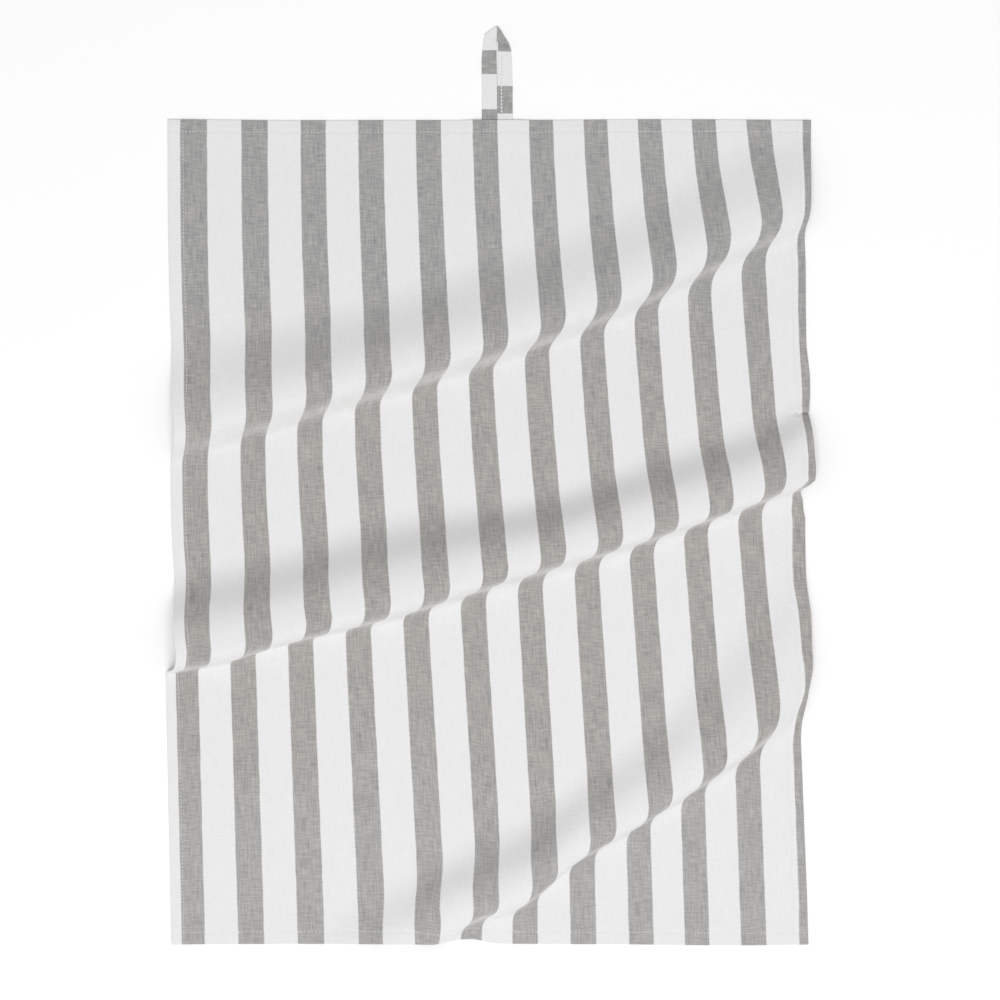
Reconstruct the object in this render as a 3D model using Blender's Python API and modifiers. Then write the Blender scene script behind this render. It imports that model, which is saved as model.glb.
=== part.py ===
"""A striped cotton tea towel, laid out face up with three folds across it, and its hanging loop.

Sizes are in millimetres, and become metres when a piece is made. A place on the cloth is given the
way it was cut: "across" is the distance from the left edge and "down" the distance from the top
edge. Between its folds the cloth lies flat, so there its underside is at height 0.
"""
import math
from collections import namedtuple

import bmesh
import bpy
import numpy as np
from mathutils import Vector

MM = 0.001

# The cloth as it was cut and hemmed. The hems are three layers thick.
CUT_WIDTH = 500.0
CLOTH = 1.2
HEM_CLOTH = 1.8
SIDE_HEM = 11.6
END_HEM = 10.5
HEM_STEP = 2.0

# The cloth as it lies: the length that it covers, and where it is in the model.
LAID_LENGTH = 630.0
MIDDLE_ACROSS = 245.5
TOP_EDGE_Y = 279.5

# How far the cloth lies to the right of its even place, along its top edge and its bottom edge, and
# how much it falls short of its laid length.
Edge = namedtuple("Edge", "across drift short")
TOP_EDGE = (
    Edge(0, 0.0, 0.0),
    Edge(90, 4.4, 0.0),
    Edge(180, 4.6, 0.0),
    Edge(270, 3.0, 0.0),
    Edge(360, -2.0, 0.0),
    Edge(450, -7.0, 0.0),
    Edge(500, -8.2, 0.0),
)
BOTTOM_EDGE = (
    Edge(0, 1.0, 0.0),
    Edge(110, 0.7, 0.6),
    Edge(150, 0.6, 1.9),
    Edge(185, 0.5, 3.5),
    Edge(215, 0.5, 3.2),
    Edge(239, 0.4, 4.0),
    Edge(262, 0.4, 0.6),
    Edge(360, 3.5, 0.0),
    Edge(450, 6.4, -0.8),
    Edge(500, 9.0, 0.0),
)

# A fold is a ridge that climbs to the right. Its back rises from the crease to the crest, and its
# front drops to the foot. On the way to the crest the cloth drifts to the right, evenly where the
# lateness is 1 and later the higher that is, and it sways back while it climbs. On the front it
# jumps to the left. Roll and tuck say how far the front's curve reaches level with the crest and
# the foot, as shares of the front's run.
Fold = namedtuple("Fold", "across crease crest foot height drift lateness sway jump roll tuck")
UPPER_FOLD = (
    Fold(0, 162, 235.5, 268.5, 18, 7.8, 3.0, 0, 5.6, 0.62, 0.45),
    Fold(30, 156, 227.5, 258, 21, 6.4, 2.8, 0, 6.0, 0.62, 0.45),
    Fold(90, 145.5, 211, 240.5, 25, 6.9, 2.4, 0, 9.4, 0.62, 0.45),
    Fold(180, 120, 186.5, 213, 26, 8.0, 1.8, 0, 10.8, 0.62, 0.45),
    Fold(270, 88, 157.5, 185.5, 22, 8.6, 1.4, 0, 11.7, 0.62, 0.45),
    Fold(360, 56, 121, 156, 19.5, 10.3, 1.2, 0, 12.5, 0.62, 0.52),
    Fold(450, 11, 78, 120, 18, 9.5, 1.2, 0, 13.0, 0.6, 0.6),
    Fold(500, 0, 60, 93, 11, -1.8, 1.0, 0, 4.0, 0.62, 0.5),
)
MIDDLE_FOLD = (
    Fold(0, 343, 405, 424.5, 33, 9.4, 2.2, 0, 13.2, 1.0, 0.4),
    Fold(30, 335, 401, 421.5, 34, 7.6, 2.0, 0, 15.0, 1.0, 0.4),
    Fold(90, 319, 384.5, 404.5, 35, 10.2, 1.8, 0, 17.4, 1.0, 0.45),
    Fold(180, 293, 360, 387, 37, 10.6, 1.5, 0, 17.5, 0.84, 0.62),
    Fold(270, 284, 333, 364.5, 31, 11.6, 1.3, 0, 17.0, 0.72, 0.78),
    Fold(360, 253, 307.5, 339, 31, 13.0, 1.2, 0, 16.6, 0.72, 0.78),
    Fold(450, 225, 279, 309.5, 30, 13.8, 1.2, 0, 16.4, 0.72, 0.76),
    Fold(500, 210, 251, 298, 18, 6.4, 1.0, 0, 9.6, 1.0, 0.65),
)
LOWER_FOLD = (
    Fold(0, 640, 660, 690, 0, 5.2, 1.0, 0, 0, 0.6, 0.55),
    Fold(90, 620, 656, 690, 2, 8.4, 1.0, 0, 0, 0.6, 0.55),
    Fold(145, 588, 638, 680, 8, 11.6, 1.0, 0, 0, 0.6, 0.55),
    Fold(165, 577, 629, 672, 12, 12.6, 1.0, 2.4, 2.0, 0.6, 0.55),
    Fold(185, 567, 620, 664, 16, 13.2, 1.0, 3.4, 6.0, 0.6, 0.55),
    Fold(217, 551, 602, 635, 20, 13.8, 1.0, 3.8, 12.0, 0.6, 0.55),
    Fold(239, 541, 594.5, 620.5, 23, 13.6, 1.0, 3.2, 14.0, 0.6, 0.55),
    Fold(270, 528, 581.5, 616, 25, 12.6, 1.0, 2.0, 14.8, 0.6, 0.55),
    Fold(315, 494, 548, 580, 20.5, 12.6, 1.0, 1.2, 15.2, 0.62, 0.56),
    Fold(360, 462, 522.5, 554, 20.5, 13.2, 1.0, 0.4, 15.4, 0.62, 0.56),
    Fold(450, 366, 461.5, 502, 21, 12.4, 1.0, 0, 14.4, 0.6, 0.5),
    Fold(500, 315, 408.5, 473, 10, 8.8, 1.0, 0, 8.4, 0.6, 0.4),
)

# How round each ridge's back is: how far its curve reaches level with the crease and the crest, as
# shares of the back's run.
Round = namedtuple("Round", "crease crest")
RIDGES = (
    (UPPER_FOLD, Round(0.42, 0.36)),
    (MIDDLE_FOLD, Round(0.48, 0.56)),
    (LOWER_FOLD, Round(0.47, 0.44)),
)
STRETCH_POINTS = 40
PAST_THE_EDGE = 60.0

# The mesh of the cloth: the distance across of its columns, with the steps to the next stop, and
# the rows in each stretch of a fold. A row keeps at least this distance from the next one.
Stop = namedtuple("Stop", "across steps")
COLUMN_STOPS = (
    Stop(0, 1),
    Stop(SIDE_HEM, 1),
    Stop(SIDE_HEM + HEM_STEP, 10),
    Stop(218, 1),
    Stop(234.5, 1),
    Stop(262.5, 1),
    Stop(279, 8),
    Stop(440, 4),
    Stop(CUT_WIDTH - SIDE_HEM - HEM_STEP, 1),
    Stop(CUT_WIDTH - SIDE_HEM, 1),
    Stop(CUT_WIDTH, 0),
)
FLAT_STEPS = 3
BACK_STEPS = 6
FRONT_STEPS = 8
LEAST_ROW = 1.0

# The hanging loop: a flat tape of several layers that is folded over twice at its top, so that its
# strands lie side by side. Both ends are under the hem. The strands close up below the folds.
TAPE_WIDTH = 11.6
TAPE = 1.0
GAP = 0.3
TAIL = 11.0
LEFT_STRAND = 245.6
RIGHT_STRAND = 258.2
LEFT_HEIGHT = 67.0
CROSSING_SLOPE = math.radians(24.0)
CLOSING = 0.3
CLOSING_START = 52.0
CLOSING_LENGTH = 30.0
TAPE_COLUMNS = 4
STRAND_STEPS = (6, 1, 6)
BEND_STEPS = 8

# How the cloth lifts where it lies over the ends of the loop.
LIFT = TAPE + 2.0 * GAP
LIFT_HALF_WIDTH = 15.0
LIFT_SIDE_FADE = 15.0
LIFT_DOWN = END_HEM + HEM_STEP
LIFT_DOWN_FADE = 24.0

WHITE_COTTON = (0.82, 0.82, 0.81, 1.0)
GREY_COTTON = (0.37, 0.36, 0.35, 1.0)
COTTON_ROUGHNESS = 0.9


def smooth(share):
    """An even S from 0 to 1, for a number or an array."""
    share = np.clip(share, 0.0, 1.0)
    return share * share * (3.0 - 2.0 * share)


def bezier(start, first_handle, second_handle, end, share):
    """Points on a cubic curve, for an array of shares."""
    rest = 1.0 - share
    first = 3.0 * rest ** 2 * share * first_handle
    second = 3.0 * rest * share ** 2 * second_handle
    return rest ** 3 * start + first + second + share ** 3 * end


def read(table, across):
    """The values of a table at one distance across, on a smooth curve that stays within its rows."""
    rows = np.array(table, dtype=float)
    stops = rows[:, 0]
    pitches = np.diff(rows, axis=0) / np.diff(stops)[:, None]
    before, after = pitches[:-1], pitches[1:]
    same_way = before * after > 0.0
    total = np.where(same_way, before + after, 1.0)
    inner = np.where(same_way, 2.0 * before * after / total, 0.0)
    slopes = np.concatenate([pitches[:1], inner, pitches[-1:]])
    last = len(stops) - 2
    at = int(np.clip(np.searchsorted(stops, across, side="right") - 1, 0, last))
    width = stops[at + 1] - stops[at]
    share = (across - stops[at]) / width
    values = rows[at] + smooth(share) * (rows[at + 1] - rows[at])
    values = values + width * share * (1.0 - share) ** 2 * slopes[at]
    values = values - width * share ** 2 * (1.0 - share) * slopes[at + 1]
    return type(table[0])(*values)


def lift(place, down):
    """How high the cloth lies where it covers the ends of the loop."""
    aside = abs(place - (LEFT_STRAND + RIGHT_STRAND) / 2.0)
    over_tape = 1.0 - smooth((aside - LIFT_HALF_WIDTH) / LIFT_SIDE_FADE)
    near_edge = 1.0 - smooth((down - LIFT_DOWN) / LIFT_DOWN_FADE)
    return LIFT * over_tape * near_edge


def thread_way(across):
    """How one lengthwise thread lies, from the top edge to a little past the bottom edge.

    Gives its points (place across, down, height), their distance along the thread, and that
    distance at each crease, crest and foot.
    """
    share = np.linspace(0.0, 1.0, STRETCH_POINTS)[1:]
    place = across + read(TOP_EDGE, across).drift
    stretches = [np.array([[place], [0.0], [0.0]])]
    foot = 0.0
    for table, curve in RIDGES:
        fold = read(table, across)
        back = fold.crest - fold.crease
        front = fold.foot - fold.crest
        flat = foot + (fold.crease - foot) * share
        rise = bezier(fold.crease, fold.crease + curve.crease * back,
                      fold.crest - curve.crest * back, fold.crest, share)
        fall = bezier(fold.crest, fold.crest + fold.roll * front,
                      fold.foot - fold.tuck * front, fold.foot, share)
        for down, up in ((flat, 0.0 * share), (rise, fold.height * smooth(share))):
            drift = fold.drift * ((down - foot) / (fold.crest - foot)) ** fold.lateness
            sway = fold.sway * smooth(smooth((down - fold.crease) / back))
            stretches.append(np.array([place + drift - sway, down, up]))
        place += fold.drift - fold.sway
        jump = fold.jump * smooth(share)
        stretches.append(np.array([place - jump, fall, fold.height * (1.0 - smooth(share))]))
        place -= fold.jump
        foot = fold.foot
    end = max(LAID_LENGTH, foot) + PAST_THE_EDGE
    drift = read(BOTTOM_EDGE, across).drift * share
    stretches.append(np.array([place + drift, foot + (end - foot) * share, 0.0 * share]))
    way = np.concatenate(stretches, axis=1)
    steps = np.linalg.norm(np.diff(way, axis=1), axis=0)
    along = np.concatenate([[0.0], np.cumsum(steps)])
    ends = np.cumsum([stretch.shape[1] for stretch in stretches])[1:-1] - 1
    return way, along, along[ends]


def row_places(across):
    """One lengthwise thread, and the distance along it of each row of the mesh, down to its end."""
    way, along, turns = thread_way(across)
    bottom = float(np.interp(LAID_LENGTH - read(BOTTOM_EDGE, across).short, way[1], along))
    last_flat = bottom - END_HEM - HEM_STEP
    rows = [0.0, END_HEM]
    start = END_HEM + HEM_STEP
    steps = (FLAT_STEPS, BACK_STEPS, FRONT_STEPS) * len(RIDGES) + (FLAT_STEPS,)
    for end, count in zip((*turns, last_flat), steps):
        end = max(end, start + LEAST_ROW * count)
        rows += list(np.linspace(start, end, count + 1)[:-1])
        start = end
    free = len(rows)
    rows += [last_flat, bottom - END_HEM, bottom]
    for row in reversed(range(free)):
        rows[row] = min(rows[row], rows[row + 1] - LEAST_ROW)
    return way, along, rows


def columns():
    """The distance across of each column of the mesh."""
    places = []
    for stop, following in zip(COLUMN_STOPS, COLUMN_STOPS[1:]):
        places += list(np.linspace(stop.across, following.across, stop.steps + 1)[:-1])
    return places + [CUT_WIDTH]


def cloth_points():
    """The underside of the cloth: for each column its points, and which of them are in a hem."""
    half_step = HEM_STEP / 2.0
    grid = []
    for across in columns():
        way, along, rows = row_places(across)
        in_side_hem = min(across, CUT_WIDTH - across) < SIDE_HEM + half_step
        column = []
        for row in rows:
            place, down, height = (float(np.interp(row, along, line)) for line in way)
            point = Vector((place - MIDDLE_ACROSS, TOP_EDGE_Y - down, height + lift(place, down)))
            in_end_hem = min(row, rows[-1] - row) < END_HEM + half_step
            column.append((point * MM, in_side_hem or in_end_hem))
        grid.append(column)
    return grid


def cotton(name, color):
    """A plain woven cotton."""
    material = bpy.data.materials.new(name)
    material.use_nodes = True
    surface = material.node_tree.nodes["Principled BSDF"]
    surface.inputs["Base Color"].default_value = color
    surface.inputs["Roughness"].default_value = COTTON_ROUGHNESS
    surface.inputs["Metallic"].default_value = 0.0
    return material


def new_object(name, shape, material, collection):
    """An object of the given name, made from a bmesh."""
    mesh = bpy.data.meshes.new(name)
    shape.to_mesh(mesh)
    shape.free()
    mesh.materials.append(material)
    mesh.shade_smooth()
    piece = bpy.data.objects.new(name, mesh)
    collection.objects.link(piece)
    return piece


def thicken(piece, thickness, offset):
    """Turn a sheet into a solid."""
    solid = piece.modifiers.new("Thickness", "SOLIDIFY")
    solid.thickness = thickness * MM
    solid.offset = offset
    solid.use_even_offset = True
    return solid


def grid_shape(steps_across, steps_along):
    """A grid, and its corners by column and row. The first row is the top one."""
    shape = bmesh.new()
    bmesh.ops.create_grid(shape, x_segments=steps_across, y_segments=steps_along, size=0.5)
    shape.verts.index_update()
    corners = {}
    for corner in shape.verts:
        column = round((corner.co.x + 0.5) * steps_across)
        row = round((0.5 - corner.co.y) * steps_along)
        corners[column, row] = corner
    return shape, corners


def make_cloth(collection):
    """The towel's cloth, with its hems."""
    grid = cloth_points()
    shape, corners = grid_shape(len(grid) - 1, len(grid[0]) - 1)
    hem_corners = []
    for (column, row), corner in corners.items():
        corner.co, in_hem = grid[column][row]
        if in_hem:
            hem_corners.append(corner.index)
    piece = new_object("towel_cloth", shape, cotton("white_cotton", WHITE_COTTON), collection)
    hem = piece.vertex_groups.new(name="hem")
    hem.add(hem_corners, 1.0, "REPLACE")
    solid = thicken(piece, HEM_CLOTH, 1.0)
    solid.vertex_group = hem.name
    solid.thickness_vertex_group = CLOTH / HEM_CLOTH
    return piece


def turn_over(point, line, slope, radius):
    """Bend a point of the tape back over a line, on a roll whose centre is one radius up."""
    away = Vector((-math.sin(slope), math.cos(slope), 0.0))
    beyond = (point - line).dot(away)
    if beyond <= 0.0:
        return point
    angle = min(beyond / radius, math.pi)
    left = beyond - radius * angle
    arm = point.z - radius
    turned = point - away * (beyond + left - abs(arm) * math.sin(angle))
    turned.z = radius + arm * math.cos(angle)
    return turned


def bend_shift(slope, bend):
    """How far along its line a bend carries the middle of the tape."""
    return Vector((math.cos(slope), math.sin(slope), 0.0)) * bend * abs(math.tan(slope))


def tape_rows(strands, slopes, bend):
    """The rows of the tape's mesh: each row's place along the tape, and how much it slants.

    The rows of a bend run along its line, and those between two lines turn from one to the other.
    """
    rows = [(0.0, 0.0)]
    for strand, slope, steps in zip(strands, slopes + (None,), STRAND_STEPS):
        start, slant = rows[-1]
        end_slant = 0.0 if slope is None else math.tan(slope)
        for step in range(1, steps + 1):
            share = step / steps
            rows.append((start + strand * share, slant + (end_slant - slant) * share))
        if slope is not None:
            for step in range(1, BEND_STEPS + 1):
                place = start + strand + bend * step / BEND_STEPS / math.cos(slope)
                rows.append((place, end_slant))
    return rows


def make_loop(collection):
    """The hanging loop: up, over to the right, and down again."""
    radius = (TAPE + GAP) / 2.0
    bend = math.pi * radius
    slopes = ((math.pi / 2.0 - CROSSING_SLOPE) / 2.0, -(math.pi / 2.0 + CROSSING_SLOPE) / 2.0)
    shifts = [bend_shift(slope, bend) for slope in slopes]
    first_line = Vector((LEFT_STRAND, LEFT_HEIGHT, 0.0))
    crossing = RIGHT_STRAND - shifts[1].x - LEFT_STRAND - shifts[0].x
    crossing_drop = Vector((crossing, -crossing * math.tan(CROSSING_SLOPE), 0.0))
    second_line = first_line + shifts[0] + crossing_drop
    right_height = (second_line + shifts[1]).y
    strands = (TAIL + LEFT_HEIGHT, crossing_drop.length, TAIL + right_height)
    rows = tape_rows(strands, slopes, bend)
    middle = (LEFT_STRAND + RIGHT_STRAND) / 2.0

    shape, corners = grid_shape(TAPE_COLUMNS, len(rows) - 1)
    for (column, row), corner in corners.items():
        place, slant = rows[row]
        aside = (column / TAPE_COLUMNS - 0.5) * TAPE_WIDTH
        point = Vector((LEFT_STRAND + aside, place + slant * aside - TAIL, 0.0))
        point = turn_over(point, first_line, slopes[0], radius)
        point = turn_over(point, second_line, slopes[1], radius)
        closing = CLOSING * smooth((CLOSING_START - point.y) / CLOSING_LENGTH)
        point.x += math.copysign(closing, middle - point.x)
        corner.co = (point + Vector((-MIDDLE_ACROSS, TOP_EDGE_Y, TAPE / 2.0))) * MM
    piece = new_object("hanging_loop", shape, cotton("grey_cotton", GREY_COTTON), collection)
    thicken(piece, TAPE, 0.0)
    return piece


def main():
    """Clear the scene and make the towel."""
    for item in list(bpy.data.objects):
        bpy.data.objects.remove(item, do_unlink=True)
    collection = bpy.data.collections.new("tea_towel")
    bpy.context.scene.collection.children.link(collection)
    make_cloth(collection)
    make_loop(collection)


main()
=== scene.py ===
"""A striped cotton tea towel on a table, with three folds, its stitched hems and its loop.

The file is laid out as an add-on. Each piece has an operator, and the sizes and colours that a user
would change are settings of the scene, in metres. The tables and functions that say how the cloth
lies are in millimetres: "across" is the distance from the cloth's left edge, "along" the distance
from its top edge on the cloth, and "down" that distance on the table.
"""
import math
from collections import namedtuple

import bmesh
import bpy
import numpy as np
from bpy.props import FloatProperty, FloatVectorProperty, PointerProperty
from mathutils import Matrix, Vector, noise


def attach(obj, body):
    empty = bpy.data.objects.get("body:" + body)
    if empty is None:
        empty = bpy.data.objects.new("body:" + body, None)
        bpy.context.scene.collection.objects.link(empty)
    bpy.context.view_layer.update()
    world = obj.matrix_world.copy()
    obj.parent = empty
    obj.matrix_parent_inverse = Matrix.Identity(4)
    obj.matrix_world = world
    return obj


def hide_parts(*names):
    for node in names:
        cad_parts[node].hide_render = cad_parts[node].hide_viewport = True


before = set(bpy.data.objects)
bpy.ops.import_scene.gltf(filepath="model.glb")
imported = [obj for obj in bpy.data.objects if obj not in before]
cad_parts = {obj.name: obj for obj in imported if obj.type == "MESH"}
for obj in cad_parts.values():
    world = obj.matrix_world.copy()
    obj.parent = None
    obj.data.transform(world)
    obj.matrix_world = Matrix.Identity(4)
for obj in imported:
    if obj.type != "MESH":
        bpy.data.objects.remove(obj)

bl_info = {
    "name": "Striped Tea Towel",
    "version": (1, 0, 0),
    "blender": (4, 5, 0),
    "location": "View3D > Sidebar > Tea Towel",
    "description": "Lays out a striped tea towel with folds, hems, stitching and a hanging loop",
    "category": "Add Mesh",
}

MM = 0.001

# Where the laid cloth is in the model, and the length that it covers.
LAID_LENGTH = 630.0
MIDDLE_ACROSS = 245.5
TOP_EDGE_Y = 279.5

# How far the cloth lies to the right of its even place, along its top edge and its bottom edge, and
# how much it falls short of its laid length there.
Edge = namedtuple("Edge", "across drift short")
TOP_EDGE = (
    Edge(0, 0.0, -0.7),
    Edge(90, 4.4, 0.0),
    Edge(180, 4.6, -0.1),
    Edge(270, 3.0, -0.1),
    Edge(360, -2.0, -0.7),
    Edge(450, -7.0, -0.4),
    Edge(500, -8.2, 0.0),
)
BOTTOM_EDGE = (
    Edge(0, 1.0, 0.0),
    Edge(110, 0.7, 0.6),
    Edge(150, 0.6, 1.9),
    Edge(185, 0.5, 3.5),
    Edge(215, 0.5, 3.2),
    Edge(239, 0.4, 4.0),
    Edge(262, 0.4, 0.6),
    Edge(360, 3.5, 0.0),
    Edge(450, 6.4, -0.8),
    Edge(500, 9.0, 0.0),
)

# A fold is a ridge that climbs to the right. Its back rises from the crease to the crest, and its
# front drops to the foot. On the way to the crest the cloth drifts to the right, evenly where the
# lateness is 1 and later the higher that is, and it sways back while it climbs. On the front it
# jumps to the left. Roll and tuck say how far the front's curve reaches level with the crest and
# the foot, as shares of the front's run.
Fold = namedtuple("Fold", "across crease crest foot height drift lateness sway jump roll tuck")
UPPER_FOLD = (
    Fold(0, 162, 235.5, 268.5, 18, 7.8, 3.0, 0, 5.6, 0.62, 0.45),
    Fold(30, 156, 227.5, 258, 21, 6.4, 2.8, 0, 6.0, 0.62, 0.45),
    Fold(90, 145.5, 211, 240.5, 25, 6.9, 2.4, 0, 9.4, 0.62, 0.45),
    Fold(180, 120, 186.5, 213, 26, 8.0, 1.8, 0, 10.8, 0.62, 0.45),
    Fold(270, 88, 157.5, 185.5, 22, 8.6, 1.4, 0, 11.7, 0.62, 0.45),
    Fold(360, 56, 121, 156, 19.5, 10.3, 1.2, 0, 12.5, 0.62, 0.52),
    Fold(450, 11, 78, 120, 18, 9.5, 1.2, 0, 13.0, 0.6, 0.6),
    Fold(500, 0, 60, 93, 11, -1.8, 1.0, 0, 4.0, 0.62, 0.5),
)
MIDDLE_FOLD = (
    Fold(0, 343, 405, 424.5, 33, 9.4, 2.2, 0, 13.2, 1.0, 0.4),
    Fold(30, 335, 401, 421.5, 34, 7.6, 2.0, 0, 15.0, 1.0, 0.4),
    Fold(90, 319, 384.5, 404.5, 35, 10.2, 1.8, 0, 17.4, 1.0, 0.45),
    Fold(180, 293, 360, 387, 37, 10.6, 1.5, 0, 17.5, 0.84, 0.62),
    Fold(270, 284, 333, 364.5, 31, 11.6, 1.3, 0, 17.0, 0.72, 0.78),
    Fold(360, 253, 307.5, 339, 31, 13.0, 1.2, 0, 16.6, 0.72, 0.78),
    Fold(450, 225, 279, 309.5, 30, 13.8, 1.2, 0, 16.4, 0.72, 0.76),
    Fold(500, 210, 251, 298, 18, 6.4, 1.0, 0, 9.6, 1.0, 0.65),
)
LOWER_FOLD = (
    Fold(0, 640, 660, 690, 0, 5.2, 1.0, 0, 0, 0.6, 0.55),
    Fold(90, 620, 656, 690, 2, 8.4, 1.0, 0, 0, 0.6, 0.55),
    Fold(145, 588, 638, 680, 8, 11.6, 1.0, 0, 0, 0.6, 0.55),
    Fold(165, 577, 629, 672, 12, 12.6, 1.0, 2.4, 2.0, 0.6, 0.55),
    Fold(185, 567, 620, 664, 16, 13.2, 1.0, 3.4, 4.6, 0.6, 0.55),
    Fold(217, 551, 602, 635, 20, 13.8, 1.0, 3.8, 7.4, 0.6, 0.55),
    Fold(239, 541, 594.5, 620.5, 23, 13.6, 1.0, 3.2, 12.2, 0.6, 0.55),
    Fold(270, 528, 581.5, 616, 25, 12.6, 1.0, 2.0, 14.8, 0.6, 0.55),
    Fold(315, 494, 548, 580, 20.5, 12.6, 1.0, 1.2, 15.2, 0.62, 0.56),
    Fold(360, 462, 522.5, 554, 20.5, 13.2, 1.0, 0.4, 15.4, 0.62, 0.56),
    Fold(450, 366, 461.5, 502, 21, 12.4, 1.0, 0, 14.4, 0.6, 0.5),
    Fold(500, 315, 408.5, 473, 10, 8.8, 1.0, 0, 8.4, 0.6, 0.4),
)

# How round each ridge's back is: how far its curve reaches level with the crease and the crest, as
# shares of the back's run.
Round = namedtuple("Round", "crease crest")
RIDGES = (
    (UPPER_FOLD, Round(0.42, 0.36)),
    (MIDDLE_FOLD, Round(0.48, 0.56)),
    (LOWER_FOLD, Round(0.47, 0.44)),
)
STRETCH_POINTS = 60
PAST_THE_EDGE = 60.0

# The fine mesh of the cloth: how far its outermost columns and rows are from the edge, how far the
# next ones are past the hem, and the steps after them and in each stretch of a fold. A row keeps
# at least this far from the next one.
EDGE_STEPS = (0.0, 0.15, 0.4, 0.8, 1.6, 4.0, 7.0)
PAST_HEM_STEPS = (2.5, 6.0, 10.5)
COLUMN_STEPS = 122
FLAT_STEPS = 16
BACK_STEPS = 28
FRONT_STEPS = 30
LEAST_ROW = 0.3

# The hems: how far inside a hem its stitches are, how deep and wide their groove is, how far past
# the hem the cloth comes down from its height, how wide the step on the underside is there, and how
# much higher the layers lie in a corner.
STITCH_INSET = 1.2
GROOVE = 0.25
GROOVE_WIDTH = 0.7
HEM_FADE = 15.0
HEM_STEP = 0.3
CORNER_EXTRA = 0.8

# Half the thickness that is left at the very edge of the cloth and of the tape.
EDGE_NOSE = 0.03

# The cloth's underside is just clear of the table, so that the stitches below it rest there.
CLEARANCE = 0.2

# The cloth isn't quite flat: it lies in wide and small waves. A wave has a length each way, the
# layer of the noise that it is taken from, and its share in the height.
Wave = namedtuple("Wave", "across down layer share")
WAVES = (Wave(75.0, 110.0, 0.0, 0.5), Wave(60.0, 60.0, 5.0, 0.3))
WAVE_HEIGHT = 0.7
WAVE_LEVEL = 0.5

# The stitches pull the hems into short puckers, other ones at the sides than at the ends.
PUCKER_HEIGHT = 0.22
PUCKER_LEVEL = 0.2
PUCKER_LENGTH = 9.0
PUCKER_REACH = 9.0
PUCKER_LAYER = 3.0
SIDE_PUCKER_LINE = 2.0

# Where the cloth bends over a fold's front and faces down the table, towards the lamp, its colour
# is
# painted paler: painted light that fills the shade of the front. The numbers are how far its facing
# falls from upright before that starts, how much further until it is whole, how far the cloth faces
# down the table by then, and over how many millimetres and places along the threads it fades.
FRONT_LIGHT_START = 0.24
FRONT_LIGHT_REACH = 0.5
FRONT_LIGHT_SIDE = 0.3
FRONT_LIGHT_FADE = 3.2
FRONT_LIGHT_PLACES = 9

# Two short, sharp creases in the right side hem, where the upper and the middle fold pull at it.
# Reach is how far they go across the cloth, and length how far down it.
Pinch = namedtuple("Pinch", "across down reach length depth")
PINCHES = (
    Pinch(497.0, 101.5, 8.0, 1.6, 1.6),
    Pinch(497.0, 224.6, 10.0, 1.3, 4.6),
)

# How far the right side hem strays to the right of its even place, by the distance down: at the
# cloth's edge, and at the inner side of the last grey stripe. Further in, it fades over the reach.
Stray = namedtuple("Stray", "down edge inner")
RIGHT_HEM = (
    Stray(66, 0.0, 0.0),
    Stray(80, 0.2, 0.3),
    Stray(94, 1.0, 1.5),
    Stray(112, 0.9, 1.5),
    Stray(145, -0.3, 0.0),
    Stray(172, -1.0, -0.5),
    Stray(195, 0.8, 0.1),
    Stray(212, 0.3, -0.2),
    Stray(226, -1.9, -1.3),
    Stray(255, -0.9, -1.3),
    Stray(270, 1.2, -0.4),
    Stray(275, 1.7, 1.0),
    Stray(281, -3.0, -3.4),
    Stray(290, 2.2, 0.0),
    Stray(304, 4.0, 0.6),
    Stray(343, 1.1, -2.8),
    Stray(356, 0.7, -2.8),
    Stray(378, 1.5, -1.4),
    Stray(404, -0.2, -2.4),
    Stray(420, 0.2, -1.4),
    Stray(434, -1.4, 0.0),
    Stray(450, 0.0, -0.8),
    Stray(466, 0.8, 1.3),
    Stray(600, 0.5, 1.0),
    Stray(620, 0.0, 0.0),
)
STRAY_INNER = 6.8
STRAY_REACH = 30.0

# How the cloth lifts where it lies over the ends of the loop.
LIFT_HALF_WIDTH = 15.0
LIFT_SIDE_FADE = 15.0
LIFT_DOWN = 12.0
LIFT_DOWN_FADE = 24.0

# The hanging loop: a flat tape that is folded over twice at its top, so that its strands lie side
# by side. Its layers are a gap apart, and both its ends lie under the hem.
GAP = 0.3
TAIL = 11.0
LEFT_STRAND = 245.6
RIGHT_STRAND = 258.2
LEFT_HEIGHT = 67.0
CROSSING_SLOPE = math.radians(24.0)

# The strands close up below the folds: each by how much, from what height, and over what length.
CLOSING = 0.38
CLOSING_START = 52.0
CLOSING_LENGTH = 30.0

# Where the tape crosses over, its lower edge rises in the middle, and its stripes lean, up to that
# far from the middle.
CROSSING_RISE = 1.9
CROSSING_LEAN = 12.0

# The fine mesh of the tape: how far its outermost columns are from the edge, the columns between
# them, and the steps along its strands and its crossing, and in each fold.
TAPE_EDGE_STEPS = (0.0, 0.12, 0.3, 0.55, 1.1)
TAPE_COLUMNS = 10
STRAND_STEPS = (46, 16, 46)
BEND_STEPS = 12

# How far the soft tape draws in at its left and its right edge, by the height over the top edge.
# From there to the middle, that fades over the reach.
Draw = namedtuple("Draw", "height left right")
DRAWN_IN = (
    Draw(26.4, 0.0, 0.0),
    Draw(38.6, 0.0, 0.4),
    Draw(46.3, 0.2, 0.8),
    Draw(54.0, 0.75, 1.65),
    Draw(59.3, 1.2, 0.0),
    Draw(61.6, 1.45, 0.0),
    Draw(64.6, 2.3, 0.0),
    Draw(66.2, 1.0, 0.0),
    Draw(67.7, 0.0, 0.0),
)
DRAW_REACH = 7.0

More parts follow.
